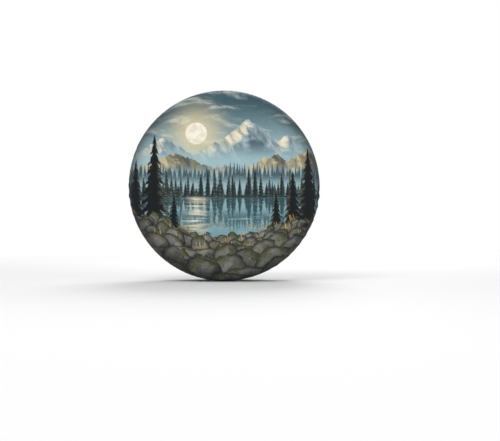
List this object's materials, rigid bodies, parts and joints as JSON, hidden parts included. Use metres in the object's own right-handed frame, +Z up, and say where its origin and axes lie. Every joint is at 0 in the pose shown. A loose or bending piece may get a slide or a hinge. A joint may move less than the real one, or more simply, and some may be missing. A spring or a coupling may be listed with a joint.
{
  "type": "spare tire cover",
  "caption": "Soft round spare-wheel cover: a printed face, a black side band and a gathered rear skirt, drawn in round the tyre by an elastic hem cord with a spring cord lock.",
  "frame": {"origin": "centre of the tyre that the cover is pulled over, on the wheel's axle line, half way through the cover's depth", "axes": "+Z up, -Y out of the printed face, +Y along the axle out of the open back"},
  "size_m": [0.82, 0.2868, 0.82],
  "materials": {
    "printed_polyester": "printed coated polyester, satin",
    "black_polyester": "woven coated polyester, satin",
    "binding_tape": "folded tape, matt",
    "elastic_cord": "braided cover over an elastic core",
    "black_plastic": "moulded, fine texture",
    "spring_steel": "drawn wire",
    "nickel_plate": "satin nickel plate"
  },
  "bodies": {
    "cover": {"front_panel": "printed_polyester", "side_band_left": "black_polyester", "side_band_right": "black_polyester", "rear_skirt_left": "black_polyester", "rear_skirt_right": "black_polyester", "face_seam_binding": "binding_tape", "skirt_seam_binding": "binding_tape", "top_seam_tape": "binding_tape", "bottom_seam_tape": "binding_tape", "hem_casing": "black_polyester", "draw_cord": "elastic_cord", "cord_exit_patch": "black_polyester", "cord_end_clip": "black_plastic", "drain_eyelet_left": "nickel_plate", "drain_eyelet_right": "nickel_plate", "drain_washer_left": "nickel_plate", "drain_washer_right": "nickel_plate"},
    "cord_lock": {"cord_lock_barrel": "black_plastic", "cord_lock_spring": "spring_steel"},
    "lock_button": {"cord_lock_plunger": "black_plastic"}
  },
  "joints": [
    {"name": "cord_lock_slide", "type": "slide", "parent": "cover", "child": "cord_lock", "axis": [0, 0, -1], "range_m": [0, 0.028]},
    {"name": "lock_button_press", "type": "slide", "parent": "cord_lock", "child": "lock_button", "axis": [-1, 0, 0], "range_m": [0, 0.0035], "stiffness_N_per_m": 600, "springref_m": -0.004, "deforming": ["cord_lock_spring"]}
  ]
}
